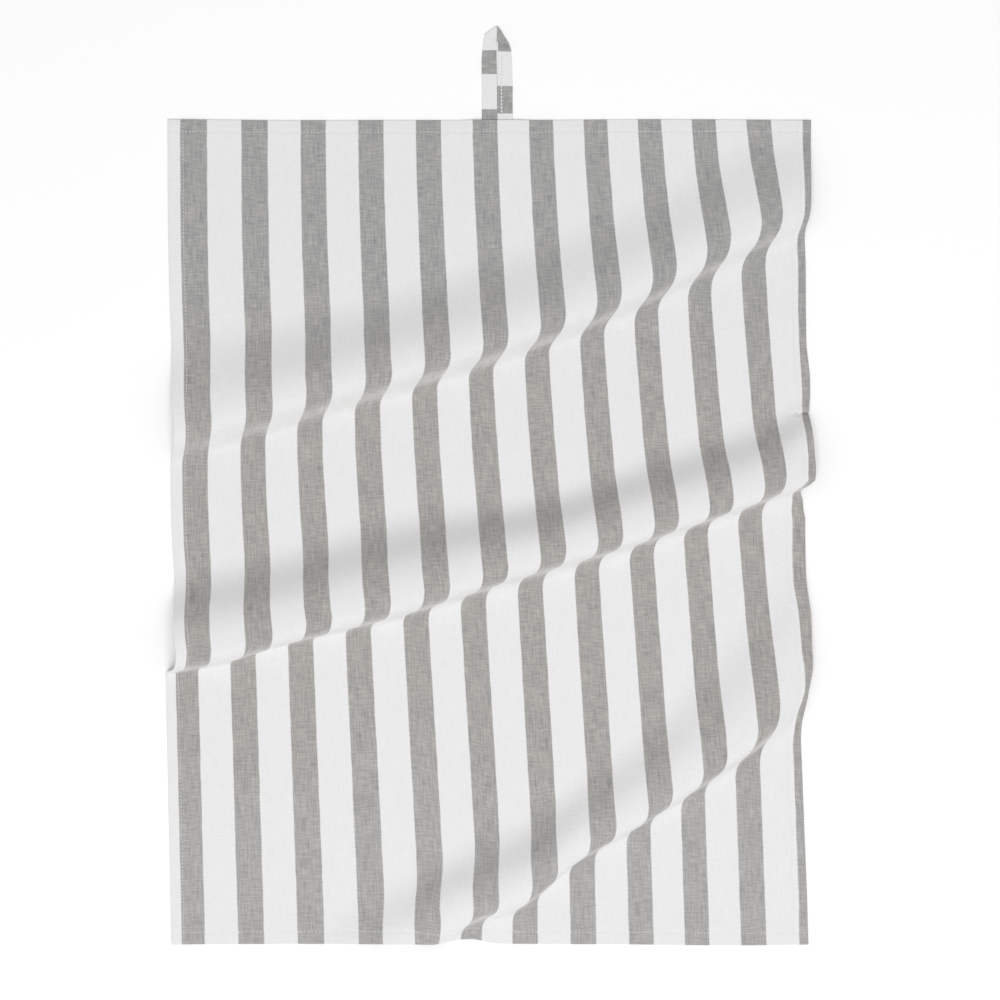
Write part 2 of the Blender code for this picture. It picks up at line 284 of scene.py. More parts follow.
# The tape is cut across the stripes, this far down the cloth in metres. Each spot is a height over
# the top edge on a strand and its place in the stripes. Between them is the crossing's middle.
TAPE_CUT = 0.1
Spot = namedtuple("Spot", "height pattern")
LEFT_SPOTS = (Spot(-TAIL, -43.0), Spot(8.4, -24.8), Spot(35.3, 0.0), Spot(53.6, 19.2))
CROSSING_PATTERN = 44.0
RIGHT_SPOTS = (Spot(52.6, 63.2), Spot(26.1, 88.0), Spot(5.0, 107.2), Spot(-TAIL, 123.0))

# How much of a hem its stitches leave free, at both ends together.
FREE_ENDS = 2.0

# The seam along the right strand. It starts that far from the tape's end, and lies that far aside
# from its middle.
SEAM_START = 14.0
SEAM_STITCHES = 17
SEAM_THREAD = 1.4
SEAM_STITCH = 2.6
SEAM_ASIDE = 2.7

# The tack stitches past the crossing, at shares of its length, and aside from the tape's middle.
TACK_SHARES = (1.2, 1.48)
TACK_ASIDE = -4.9
TACK_THREAD = 0.9

# The weave's unevenness: how often each kind comes in a metre, across and down the cloth.
EDGE_WANDER = (30.0, 45.0, 1.0)
WEFT_SLUBS = (110.0, 850.0, 1.0)
WARP_SLUBS = (900.0, 60.0, 1.0)
CLOUDS = (70.0, 45.0, 1.0)
PATCHES = (9.0, 7.0, 1.0)
NOISE_ROUGHNESS = 0.6

# How much the clouds add to the slubs, how much the slubs tint the greys, and how many metres the
# patches shift where the greys change.
CLOUD_SHARE = 0.25
SLUB_TINT = 1.4
PATCH_SHIFT = 0.25

# Where the greys turn warm and pale, in metres down the cloth, and from how much to how much.
Change = namedtuple("Change", "start end least most")
WARMING = Change(0.12, 0.24, 0.25, 0.75)
PALING = Change(0.5, 0.64, 0.0, 0.7)

# The relief of the weave, where crossings count less than slubs, and the twist of the sewing
# thread: how often it comes in a metre, how much it shows, and its relief. Depths are in metres.
CROSSING_RELIEF = 0.25
WEAVE_DEPTH = 0.0002
WEAVE_STRENGTH = 0.5
TWIST = (2600.0, 2600.0, 2600.0)
TWIST_CONTRAST = 0.35
TWIST_DEPTH = 0.0001
TWIST_STRENGTH = 0.6

# Where the large soft lamp hangs, in metres.
LAMP_PLACE = Vector((0.13, -1.12, 3.45))


# ------------------------- how the cloth lies


def smooth(share):
    """An even S from 0 to 1, for a number or an array."""
    share = np.clip(share, 0.0, 1.0)
    return share * share * (3.0 - 2.0 * share)


def bezier(start, first_handle, second_handle, end, share):
    """Points on a cubic curve, for an array of shares."""
    rest = 1.0 - share
    first = 3.0 * rest ** 2 * share * first_handle
    second = 3.0 * rest * share ** 2 * second_handle
    return rest ** 3 * start + first + second + share ** 3 * end


def read(table, across):
    """The values of a table at one distance across, on a smooth curve within its rows."""
    rows = np.array(table, dtype=float)
    stops = rows[:, 0]
    pitches = np.diff(rows, axis=0) / np.diff(stops)[:, None]
    before, after = pitches[:-1], pitches[1:]
    same_way = before * after > 0.0
    total = np.where(same_way, before + after, 1.0)
    inner = np.where(same_way, 2.0 * before * after / total, 0.0)
    slopes = np.concatenate([pitches[:1], inner, pitches[-1:]])
    last = len(stops) - 2
    at = int(np.clip(np.searchsorted(stops, across, side="right") - 1, 0, last))
    width = stops[at + 1] - stops[at]
    share = (across - stops[at]) / width
    values = rows[at] + smooth(share) * (rows[at + 1] - rows[at])
    values = values + width * share * (1.0 - share) ** 2 * slopes[at]
    values = values - width * share ** 2 * (1.0 - share) * slopes[at + 1]
    return type(table[0])(*values)


def thread_way(across):
    """How one lengthwise thread lies, from the top edge to a little past the bottom edge.

    Gives its points (place across, down, height), their distance along the thread, and that
    distance at each crease, crest and foot.
    """
    share = np.linspace(0.0, 1.0, STRETCH_POINTS)[1:]
    top = read(TOP_EDGE, across)
    place, foot = across + top.drift, top.short
    stretches = [np.array([[place], [foot], [0.0]])]
    for table, curve in RIDGES:
        fold = read(table, across)
        back = fold.crest - fold.crease
        front = fold.foot - fold.crest
        flat = foot + (fold.crease - foot) * share
        rise = bezier(fold.crease, fold.crease + curve.crease * back,
                      fold.crest - curve.crest * back, fold.crest, share)
        fall = bezier(fold.crest, fold.crest + fold.roll * front,
                      fold.foot - fold.tuck * front, fold.foot, share)
        for down, up in ((flat, 0.0 * share), (rise, fold.height * smooth(share))):
            drift = fold.drift * ((down - foot) / (fold.crest - foot)) ** fold.lateness
            sway = fold.sway * smooth(smooth((down - fold.crease) / back))
            stretches.append(np.array([place + drift - sway, down, up]))
        place += fold.drift - fold.sway
        jump = fold.jump * smooth(share)
        stretches.append(np.array([place - jump, fall, fold.height * (1.0 - smooth(share))]))
        place -= fold.jump
        foot = fold.foot
    end = max(LAID_LENGTH, foot) + PAST_THE_EDGE
    drift = read(BOTTOM_EDGE, across).drift * share
    stretches.append(np.array([place + drift, foot + (end - foot) * share, 0.0 * share]))
    way = np.concatenate(stretches, axis=1)
    steps = np.linalg.norm(np.diff(way, axis=1), axis=0)
    along = np.concatenate([[0.0], np.cumsum(steps)])
    ends = np.cumsum([stretch.shape[1] for stretch in stretches])[1:-1] - 1
    return way, along, along[ends]


def edge_stops(hem):
    """The distances from an edge of the fine columns or rows that a hem of that width needs."""
    stitch = hem - STITCH_INSET
    near = [stitch - GROOVE_WIDTH, stitch, stitch + GROOVE_WIDTH, hem, hem + HEM_STEP]
    return list(EDGE_STEPS) + near + [hem + step for step in PAST_HEM_STEPS]


def column_places(cut_width, side_hem):
    """The distance across of each column of the cloth's mesh."""
    edge = edge_stops(side_hem)
    between = np.linspace(edge[-1], cut_width - edge[-1], COLUMN_STEPS + 1)
    return np.array(edge[:-1] + list(between) + [cut_width - stop for stop in edge[-2::-1]])


def row_places(across, end_hem):
    """One lengthwise thread, and the distance along it of each row of the mesh, down to its end."""
    way, along, turns = thread_way(across)
    bottom = float(np.interp(LAID_LENGTH - read(BOTTOM_EDGE, across).short, way[1], along))
    edge = edge_stops(end_hem)
    start, last_flat = edge[-1], bottom - edge[-1]
    rows = edge[:-1]
    steps = (FLAT_STEPS, BACK_STEPS, FRONT_STEPS) * len(RIDGES) + (FLAT_STEPS,)
    for end, count in zip((*turns, last_flat), steps):
        end = max(end, start + LEAST_ROW * count)
        rows += list(np.linspace(start, end, count + 1)[:-1])
        start = end
    free = len(rows)
    rows += [bottom - stop for stop in edge[::-1]]
    for row in reversed(range(len(edge), free)):
        rows[row] = min(rows[row], rows[row + 1] - LEAST_ROW)
    return way, along, np.array(rows)


def lift(place, down, height):
    """How high the cloth lies where it covers the ends of the loop."""
    aside = np.abs(place - (LEFT_STRAND + RIGHT_STRAND) / 2.0)
    over_tape = 1.0 - smooth((aside - LIFT_HALF_WIDTH) / LIFT_SIDE_FADE)
    near_edge = 1.0 - smooth((down - LIFT_DOWN) / LIFT_DOWN_FADE)
    return height * over_tape * near_edge


def pinched(across, down):
    """How deep the short creases in the side hem are at one distance across."""
    depth = 0.0 * down
    for pinch in PINCHES:
        aside = (across - pinch.across) / pinch.reach
        depth += pinch.depth * np.exp(-aside ** 2 - ((down - pinch.down) / pinch.length) ** 2)
    return depth


def strayed(from_right, down):
    """How far the cloth strays to the right near its right edge."""
    downs, edges, inners = np.array(RIGHT_HEM).T
    edge, inner = np.interp(down, downs, edges), np.interp(down, downs, inners)
    stray = edge + (inner - edge) * np.minimum(from_right / STRAY_INNER, 1.0)
    return stray * (1.0 - smooth((from_right - STRAY_INNER) / STRAY_REACH))


class LaidCloth:
    """The laid cloth's lower and upper side, at each column and row of its mesh.

    across is one number a column, and along, under and upper have one entry for each row of it.
    """

    def __init__(self, cloth, tape):
        width = cloth.cut_width / MM
        side_hem, end_hem = cloth.side_hem / MM, cloth.end_hem / MM
        over_loop = tape.thickness / MM + GAP
        self.across = column_places(width, side_hem)
        lines, alongs = [], []
        for across in self.across:
            way, along, rows = row_places(across, end_hem)
            lines.append([np.interp(rows, along, line) for line in way])
            alongs.append(rows)
        self.along = np.array(alongs)
        place, down, height = np.array(lines).transpose(1, 0, 2)
        place = place + strayed(width - self.across[:, None], down)
        height = np.maximum(height - pinched(self.across[:, None], down), 0.0)
        height = height + CLEARANCE + lift(place, down, over_loop) + self.waves(place, down)
        self.base = np.stack([place - MIDDLE_ACROSS, TOP_EDGE_Y - down, height], axis=-1)
        self.outward = self.facing(self.base)
        # Painted light: how much paler the fold fronts are painted where they lean from upright and
        # face down the table, towards the lamp.
        leaning = smooth((1.0 - self.outward[..., 2] - FRONT_LIGHT_START) / FRONT_LIGHT_REACH)
        self.bend = self.faded(leaning * smooth(-self.outward[..., 1] / FRONT_LIGHT_SIDE))
        self.thicken(cloth.thickness / MM, cloth.hem_thickness / MM, side_hem, end_hem)

    def thicken(self, thin, thick, side_hem, end_hem):
        """Put the lower and upper sides round the laid sheet, with the hems and their grooves."""
        width = self.across[-1]
        to_side = np.minimum(self.across, width - self.across)[:, None] + 0.0 * self.along
        to_end = np.minimum(self.along, self.along[:, -1:] - self.along)
        side = 1.0 - smooth((to_side - side_hem) / HEM_FADE)
        end = 1.0 - smooth((to_end - end_hem) / HEM_FADE)
        upper = thin + (thick - thin) * np.maximum(side, end) + CORNER_EXTRA * side * end
        in_hem = (to_side < side_hem + HEM_STEP / 2.0) | (to_end < end_hem + HEM_STEP / 2.0)
        under = np.where(in_hem, 0.0, upper - thin)
        for distance, hem in ((to_side, side_hem), (to_end, end_hem)):
            off = distance - (hem - STITCH_INSET)
            upper = upper - GROOVE * np.exp(-((off / GROOVE_WIDTH) ** 2))
            pull = self.puckers(distance is to_side) * np.exp(-((off / PUCKER_REACH) ** 2))
            upper, under = upper + pull, under + pull
        radius = (upper - under) / 2.0
        inward = np.clip(np.minimum(to_side, to_end) / radius, 0.0, 1.0)
        half = np.maximum(radius * np.sqrt(1.0 - (1.0 - inward) ** 2), EDGE_NOSE)
        middle = (upper + under) / 2.0
        self.upper = self.base + self.outward * (middle + half)[..., None]
        self.under = self.base + self.outward * (middle - half)[..., None]

    def faded(self, values):
        """Values at each column and row, spread a little along the threads."""
        steps = np.linspace(-FRONT_LIGHT_FADE, FRONT_LIGHT_FADE, FRONT_LIGHT_PLACES)
        spread = [np.mean([np.interp(rows + step, rows, line) for step in steps], axis=0)
                  for rows, line in zip(self.along, values)]
        return np.array(spread)

    @staticmethod
    def facing(points):
        """The upward normal at each column and row."""
        normal = np.cross(np.gradient(points, axis=1), np.gradient(points, axis=0))
        return normal / np.linalg.norm(normal, axis=-1, keepdims=True)

    @staticmethod
    def waves(place, down):
        """The low waves that the cloth lies in."""
        heights = np.empty(place.shape)
        for spot in np.ndindex(place.shape):
            level = WAVE_LEVEL
            for wave in WAVES:
                at = Vector((place[spot] / wave.across, down[spot] / wave.down, wave.layer))
                level += wave.share * noise.noise(at)
            heights[spot] = WAVE_HEIGHT * max(0.0, level)
        return heights

    def puckers(self, at_side):
        """The short waves that the stitches of a side or end hem pull the cloth into."""
        along = self.along if at_side else self.across[:, None] + 0.0 * self.along
        line = SIDE_PUCKER_LINE if at_side else 0.0
        heights = np.empty(along.shape)
        for spot in np.ndindex(along.shape):
            heights[spot] = noise.noise(Vector((along[spot] / PUCKER_LENGTH, line, PUCKER_LAYER)))
        return PUCKER_HEIGHT * np.maximum(heights + PUCKER_LEVEL, 0.0)

    def spot(self, across, along, side="upper"):
        """The point at that distance across and along. A negative distance is from the far end."""
        across = across if across >= 0.0 else self.across[-1] + across
        left = int(np.clip(np.searchsorted(self.across, across) - 1, 0, len(self.across) - 2))
        gap = self.across[left + 1] - self.across[left]
        share = (across - self.across[left]) / gap
        points = []
        for column in (left, left + 1):
            rows = self.along[column]
            place = along if along >= 0.0 else rows[-1] + along
            surface = getattr(self, side)[column]
            points.append(np.array([np.interp(place, rows, surface[:, axis]) for axis in range(3)]))
        return Vector(points[0] + (points[1] - points[0]) * share)


# ------------------------- the tape of the loop


def turn_over(point, line, slope, radius):
    """Bend a point of the tape back over a line, on a roll whose centre is one radius up."""
    away = Vector((-math.sin(slope), math.cos(slope), 0.0))
    beyond = (point - line).dot(away)
    if beyond <= 0.0:
        return point
    angle = min(beyond / radius, math.pi)
    left = beyond - radius * angle
    arm = point.z - radius
    turned = point - away * (beyond + left - abs(arm) * math.sin(angle))
    turned.z = radius + arm * math.cos(angle)
    return turned


def bend_shift(slope, bend):
    """How far along its line a bend carries the middle of the tape."""
    return Vector((math.cos(slope), math.sin(slope), 0.0)) * bend * abs(math.tan(slope))


class LoopTape:
    """The tape of the hanging loop: up, over to the right, and down again."""

    def __init__(self, tape):
        self.width, self.thickness = tape.width / MM, tape.thickness / MM
        self.radius = (self.thickness + GAP) / 2.0
        bend = math.pi * self.radius
        self.slopes = (
            (math.pi / 2.0 - CROSSING_SLOPE) / 2.0, -(math.pi / 2.0 + CROSSING_SLOPE) / 2.0
        )
        shifts = [bend_shift(slope, bend) for slope in self.slopes]
        self.first_line = Vector((LEFT_STRAND, LEFT_HEIGHT, 0.0))
        crossing = RIGHT_STRAND - shifts[1].x - LEFT_STRAND - shifts[0].x
        drop = Vector((crossing, -crossing * math.tan(CROSSING_SLOPE), 0.0))
        self.second_line = self.first_line + shifts[0] + drop
        right_height = (self.second_line + shifts[1]).y
        strands = (TAIL + LEFT_HEIGHT, drop.length, TAIL + right_height)
        self.rows = self.row_places(strands, bend)
        self.length = self.rows[-1][0]
        self.crossing = strands[0] + bend / math.cos(self.slopes[0])
        self.crossing_length = drop.length
        self.crossing_middle = self.crossing + drop.length / 2.0
        left = [(TAIL + spot.height, spot.pattern) for spot in LEFT_SPOTS]
        right = [(self.length - TAIL - spot.height, spot.pattern) for spot in RIGHT_SPOTS]
        self.pattern = np.array([*left, (self.crossing_middle, CROSSING_PATTERN), *right]).T

    def row_places(self, strands, bend):
        """Each row's place along the tape, and how much it slants.

        The rows of a bend run along its line, and those between two lines turn to the next.
        """
        rows = [(0.0, 0.0)]
        for strand, slope, steps in zip(strands, self.slopes + (None,), STRAND_STEPS):
            start, slant = rows[-1]
            end_slant = 0.0 if slope is None else math.tan(slope)
            for step in range(1, steps + 1):
                share = step / steps
                rows.append((start + strand * share, slant + (end_slant - slant) * share))
            if slope is not None:
                for step in range(1, BEND_STEPS + 1):
                    place = start + strand + bend * step / BEND_STEPS / math.cos(slope)
                    rows.append((place, end_slant))
        return rows

    def spot(self, place, aside, height):
        """Where a point of the flat tape comes to lie. Height is from the middle of its layers."""
        point = Vector((LEFT_STRAND + aside, place - TAIL, height))
        point = turn_over(point, self.first_line, self.slopes[0], self.radius)
        point = turn_over(point, self.second_line, self.slopes[1], self.radius)
        share = min(max((place - self.crossing) / self.crossing_length, 0.0), 1.0)
        lower = 0.5 - aside / self.width
        point.y += CROSSING_RISE * math.sin(math.pi * share) * lower
        point = self.drawn_in(point)
        middle = (LEFT_STRAND + RIGHT_STRAND) / 2.0
        closing = CLOSING * smooth((CLOSING_START - point.y) / CLOSING_LENGTH)
        point.x += math.copysign(closing, middle - point.x)
        rest = Vector((-MIDDLE_ACROSS, TOP_EDGE_Y, self.thickness / 2.0 + CLEARANCE / 2.0))
        return point + rest

    def drawn_in(self, point):
        """Draw a point in towards the middle where it is near an outer edge of the strands."""
        half = self.width / 2.0
        heights, lefts, rights = np.array(DRAWN_IN).T
        from_left = (point.x - (LEFT_STRAND - half)) / DRAW_REACH
        from_right = (RIGHT_STRAND + half - point.x) / DRAW_REACH
        point.x += float(np.interp(point.y, heights, lefts)) * max(1.0 - from_left, 0.0)
        point.x -= float(np.interp(point.y, heights, rights)) * max(1.0 - from_right, 0.0)
        return point

    def in_stripes(self, place, aside):
        """The place in the stripes' pattern of a place along the tape and aside from its middle."""
        off = abs(place - self.crossing_middle) / CROSSING_LEAN
        place += aside * math.tan(CROSSING_SLOPE) * (1.0 - smooth(off))
        return float(np.interp(place, *self.pattern))


# ------------------------- meshes


def new_object(name, shape, material):
    """An object of the scene, made from a bmesh."""
    mesh = bpy.data.meshes.new(name)
    shape.to_mesh(mesh)
    shape.free()
    mesh.materials.append(material)
    item = bpy.data.objects.new(name, mesh)
    bpy.context.scene.collection.objects.link(item)
    return item


def new_piece(name, shape, material, node=None):
    """A shown piece of the towel, which stands for a node if one is named."""
    piece = new_object(name, shape, material)
    piece.data.shade_smooth()
    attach(piece, "root")
    if node:
        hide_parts(node)
    return piece


def slab(columns, rows, place, pattern, bend):
    """A flat slab of that many columns and rows, whose corners are moved to where they lie.

    place(column, row, is_upper) gives a corner's point in millimetres, pattern(column, row) its
    place in the weave, and bend(column, row) how much painted light a fold's front gets there.
    """
    shape = bmesh.new()
    bmesh.ops.create_grid(shape, x_segments=columns, y_segments=rows, size=0.5)
    bmesh.ops.solidify(shape, geom=shape.faces[:], thickness=1.0)
    heights = [corner.co.z for corner in shape.verts]
    middle = (min(heights) + max(heights)) / 2.0
    shape.verts.index_update()
    spots = []
    painted_front_light = shape.verts.layers.float.new("bend")
    for corner in shape.verts:
        column = round((corner.co.x + 0.5) * columns)
        row = round((0.5 - corner.co.y) * rows)
        spots.append((column, row))
        corner[painted_front_light] = bend(column, row)
        corner.co = Vector(place(column, row, corner.co.z > middle)) * MM
    weave = shape.loops.layers.uv.new("weave")
    for face in shape.faces:
        for loop in face.loops:
            loop[weave].uv = pattern(*spots[loop.vert.index])
    bmesh.ops.recalc_face_normals(shape, faces=shape.faces[:])
    return shape


def add_stitch(shape, start, end, outward, thread):
    """One stitch of thread from start to end, in millimetres, half sunk in the cloth."""
    way = end - start
    sideways = outward.cross(way).normalized()
    up = way.cross(sideways).normalized()
    turn = Matrix((way.normalized(), sideways, up)).transposed().to_4x4()
    size = Matrix.Diagonal((way.length / 2.0, thread / 2.0, thread / 2.0, 1.0))
    middle = Matrix.Translation((start + end) / 2.0)
    place = Matrix.Scale(MM, 4) @ middle @ turn @ size
    bmesh.ops.create_icosphere(shape, subdivisions=1, radius=1.0, matrix=place)


# ------------------------- materials


class Weaver:
    """Short ways to add nodes to a material."""

    def __init__(self, name):
        self.material = bpy.data.materials.new(name)
        self.material.use_nodes = True
        self.tree = self.material.node_tree
        self.surface = self.tree.nodes["Principled BSDF"]

    def put(self, socket, value):
        """Link another node's output to a socket, or set a plain value there."""
        if isinstance(value, bpy.types.NodeSocket):
            self.tree.links.new(value, socket)
        else:
            socket.default_value = value

    def feed(self, node, **inputs):
        """Put a node's inputs by name, with underscores for spaces."""
        for name, value in inputs.items():
            self.put(node.inputs[name.replace("_", " ")], value)

    def math(self, operation, first, second=0.0, third=0.0):
        """A sum of one, two or three values."""
        node = self.tree.nodes.new("ShaderNodeMath")
        node.operation = operation
        for socket, value in zip(node.inputs, (first, second, third)):
            self.put(socket, value)
        return node.outputs[0]

    def ramp(self, value, low, high, to_low, to_high):
        """A value carried smoothly from one range to another."""
        node = self.tree.nodes.new("ShaderNodeMapRange")
        node.interpolation_type = "SMOOTHSTEP"
        self.feed(node, Value=value, From_Min=low, From_Max=high, To_Min=to_low, To_Max=to_high)
        return node.outputs[0]

    def streaks(self, vector, scale, detail=2.0):
        """Noise about zero, with a size of its own in each direction."""
        mapping = self.tree.nodes.new("ShaderNodeMapping")
        self.feed(mapping, Vector=vector, Scale=scale)
        node = self.tree.nodes.new("ShaderNodeTexNoise")
        self.feed(node, Vector=mapping.outputs[0], Scale=1.0, Detail=detail,
                  Roughness=NOISE_ROUGHNESS)
        return self.math("SUBTRACT", node.outputs[0], 0.5)

    def blend(self, share, first, second):
        """A colour between two."""
        node = self.tree.nodes.new("ShaderNodeMix")
        node.data_type = "RGBA"
        self.put(node.inputs[0], share)
        self.put(node.inputs[6], first)
        self.put(node.inputs[7], second)
        return node.outputs[2]

    def brighten(self, color, value):
        """A colour with its brightness times a value."""
        node = self.tree.nodes.new("ShaderNodeHueSaturation")
        self.feed(node, Color=color, Value=value)
        return node.outputs[0]

    def relief(self, height, depth, strength):
        """A bump of that depth in metres."""
        node = self.tree.nodes.new("ShaderNodeBump")
        self.feed(node, Height=height, Distance=depth, Strength=strength)
        self.tree.links.new(node.outputs[0], self.surface.inputs["Normal"])


def grey_stripes(weaver, cloth, vector, across):
    """How grey the cloth is: 1 in its grey stripes and 0 between them, with uneven edges."""
    half_stripe = cloth.stripe_width / 2.0
    wander = weaver.math("MULTIPLY", weaver.streaks(vector, EDGE_WANDER), cloth.stripe_wander)
    from_first = weaver.math("SUBTRACT", across, cloth.first_stripe + half_stripe)
    turns = weaver.math("DIVIDE", weaver.math("ADD", from_first, wander), cloth.stripe_pitch)
    turns = weaver.math("FRACT", weaver.math("ADD", turns, 0.5))
    aside = weaver.math("ABSOLUTE", weaver.math("SUBTRACT", turns, 0.5))
    aside = weaver.math("MULTIPLY", aside, cloth.stripe_pitch)
    soft = cloth.stripe_softness
    return weaver.ramp(aside, half_stripe - soft, half_stripe + soft, 1.0, 0.0)


def uneven_threads(weaver, vector):
    """The thicker and thinner stretches of the threads both ways, in soft clouds."""
    weft = weaver.streaks(vector, WEFT_SLUBS)
    warp = weaver.streaks(vector, WARP_SLUBS)
    cloudy = weaver.streaks(vector, CLOUDS)
    return weaver.math("MULTIPLY_ADD", cloudy, CLOUD_SHARE, weaver.math("ADD", weft, warp))


def crossing_threads(weaver, cloth, across, along):
    """The threads that go over and under each other."""
    pitch = 2.0 * math.pi / cloth.thread_pitch
    over = weaver.math("SINE", weaver.math("MULTIPLY", across, pitch))
    under = weaver.math("SINE", weaver.math("MULTIPLY", along, pitch))
    return weaver.math("MULTIPLY", over, under)


def stripe_grey(weaver, cloth, vector, along, slubs):
    """The colour of the grey stripes: cool at the top of the cloth, then warm, and then pale."""
    patches = weaver.streaks(vector, PATCHES)
    down = weaver.math("MULTIPLY_ADD", patches, PATCH_SHIFT, along)
    warmth = weaver.math("MULTIPLY_ADD", slubs, SLUB_TINT, weaver.ramp(down, *WARMING))
    grey = weaver.blend(warmth, (*cloth.cool_grey, 1.0), (*cloth.warm_grey, 1.0))
    return weaver.blend(weaver.ramp(down, *PALING), grey, (*cloth.pale_grey, 1.0))


def striped_cotton(cloth):
    """Plain weave with white stripes and stripes of grey and white threads woven together."""
    weaver = Weaver("striped_cotton")
    pattern = weaver.tree.nodes.new("ShaderNodeUVMap")
    pattern.uv_map = "weave"
    vector = pattern.outputs[0]
    parts = weaver.tree.nodes.new("ShaderNodeSeparateXYZ")
    weaver.feed(parts, Vector=vector)
    across, along = parts.outputs[0], parts.outputs[1]
    # The bend attribute is painted light: the fold fronts that face the lamp are painted paler, in
    # the greys and in the whites.
    bend = weaver.tree.nodes.new("ShaderNodeAttribute")
    bend.attribute_name = "bend"
    painted_front_light = bend.outputs["Fac"]

    grey = grey_stripes(weaver, cloth, vector, across)
    slubs = uneven_threads(weaver, vector)
    woven = crossing_threads(weaver, cloth, across, along)
    shade = weaver.math("MULTIPLY_ADD", woven, cloth.thread_contrast, slubs)
    depth = weaver.math("MULTIPLY_ADD", grey, cloth.grey_mottle - cloth.white_mottle,
                        cloth.white_mottle)
    bright = weaver.math("MULTIPLY_ADD", shade, depth, 1.0)

    greys = stripe_grey(weaver, cloth, vector, along, slubs)
    greys = weaver.blend(painted_front_light, greys, (*cloth.painted_light_grey, 1.0))
    whites = weaver.blend(painted_front_light, (*cloth.white, 1.0), (*cloth.painted_light_white, 1.0))
    color = weaver.brighten(weaver.blend(grey, whites, greys), bright)
    weaver.feed(weaver.surface, Base_Color=color, Roughness=0.88, Specular_IOR_Level=0.25,
                Sheen_Weight=0.3, Sheen_Roughness=0.5)
    height = weaver.math("MULTIPLY_ADD", woven, CROSSING_RELIEF, slubs)
    weaver.relief(height, WEAVE_DEPTH, WEAVE_STRENGTH)
    return weaver.material


def sewing_thread(name, color):
    """A soft cotton thread."""
    weaver = Weaver(name)
    place = weaver.tree.nodes.new("ShaderNodeTexCoord").outputs["Object"]
    twist = weaver.streaks(place, TWIST, detail=1.0)
    bright = weaver.math("MULTIPLY_ADD", twist, TWIST_CONTRAST, 1.0)
    weaver.feed(weaver.surface, Base_Color=weaver.brighten((*color, 1.0), bright), Roughness=0.7,
                Specular_IOR_Level=0.3, Sheen_Weight=0.1)
    weaver.relief(twist, TWIST_DEPTH, TWIST_STRENGTH)
    return weaver.material


def pale_floor(color):
    """A plain, matt floor."""
    weaver = Weaver("pale_floor")
    weaver.feed(weaver.surface, Base_Color=(*color, 1.0), Roughness=0.9, Specular_IOR_Level=0.2)
    return weaver.material


def cotton():
    """The striped cotton, made once for the cloth and the loop."""
    return bpy.data.materials.get("striped_cotton") or striped_cotton(settings().cloth)


# ------------------------- settings


def metres(name, description, default):
    """A size in metres."""
    return FloatProperty(name=name, description=description, default=default, min=0.0,
                         precision=4, unit="LENGTH")


def factor(name, description, default):
    """A strength without a unit."""
    return FloatProperty(name=name, description=description, default=default, min=0.0,
                         subtype="FACTOR")


def tone(name, description, default):
    """A colour."""
    return FloatVectorProperty(name=name, description=description, default=default, size=3,
                               min=0.0, max=1.0, subtype="COLOR")


class TowelClothSettings(bpy.types.PropertyGroup):
    """The cloth, its hems and its stripes."""

    cut_width: metres("Cut width", "Width of the hemmed cloth before it is laid", 0.5)
    cut_length: metres("Cut length", "Length of the hemmed cloth before it is laid", 0.7)
    thickness: metres("Thickness", "Thickness of one layer of the cloth", 0.0006)
    hem_thickness: metres("Hem thickness", "Thickness of the turned layers of a hem", 0.0012)
    side_hem: metres("Side hem", "Width of the hems at the sides", 0.0124)
    end_hem: metres("End hem", "Width of the hems at the top and bottom", 0.0105)
    first_stripe: metres("First stripe", "From the left edge to the first grey stripe", 0.0092)
    stripe_width: metres("Stripe width", "Width of a grey stripe", 0.0192)
    stripe_pitch: metres("Stripe pitch", "From one grey stripe to the next", 0.044)
    stripe_softness: metres("Stripe softness", "Width of half a stripe's edge", 0.00045)
    stripe_wander: metres("Stripe wander", "How far a stripe's edge strays", 0.001)
    thread_pitch: metres("Thread pitch", "Twice the distance from thread to thread", 0.0011)
    thread_contrast: factor("Thread contrast", "How much the crossing threads show", 0.15)
    grey_mottle: factor("Grey mottle", "How uneven the threads of the grey stripes are", 0.76)
    white_mottle: factor("White mottle", "How uneven the white threads are", 0.10)
    white: tone("White", "Colour of the white threads", (0.782, 0.781, 0.783))
    cool_grey: tone("Cool grey", "Colour of the grey near the top edge", (0.342, 0.345, 0.346))
    warm_grey: tone("Warm grey", "Colour of the grey in the middle", (0.384, 0.361, 0.342))
    pale_grey: tone("Pale grey", "Colour of the grey near the bottom edge", (0.400, 0.394, 0.390))
    painted_light_white: tone("Painted-light white", "Colour of the white where a fold's front gets painted light", (0.86, 0.86, 0.855))
    painted_light_grey: tone("Painted-light grey", "Colour of the grey where a fold's front gets painted light", (0.60, 0.585, 0.57))


class HangingLoopSettings(bpy.types.PropertyGroup):
    """The tape that the towel hangs on."""

    width: metres("Width", "Width of the folded tape", 0.0116)
    thickness: metres("Thickness", "Thickness of the folded tape", 0.001)


class StitchSettings(bpy.types.PropertyGroup):
    """The lockstitches of the hems and the loop."""

    pitch: metres("Pitch", "From one stitch to the next", 0.0027)
    stitch: metres("Stitch", "Length of the thread that shows in one stitch", 0.0021)
    thread: metres("Thread", "Thickness of the thread", 0.0005)
    white: tone("White thread", "Colour of the hem's thread", (0.80, 0.80, 0.79))
    dark: tone("Dark thread", "Colour of the thread across the loop", (0.10, 0.09, 0.09))


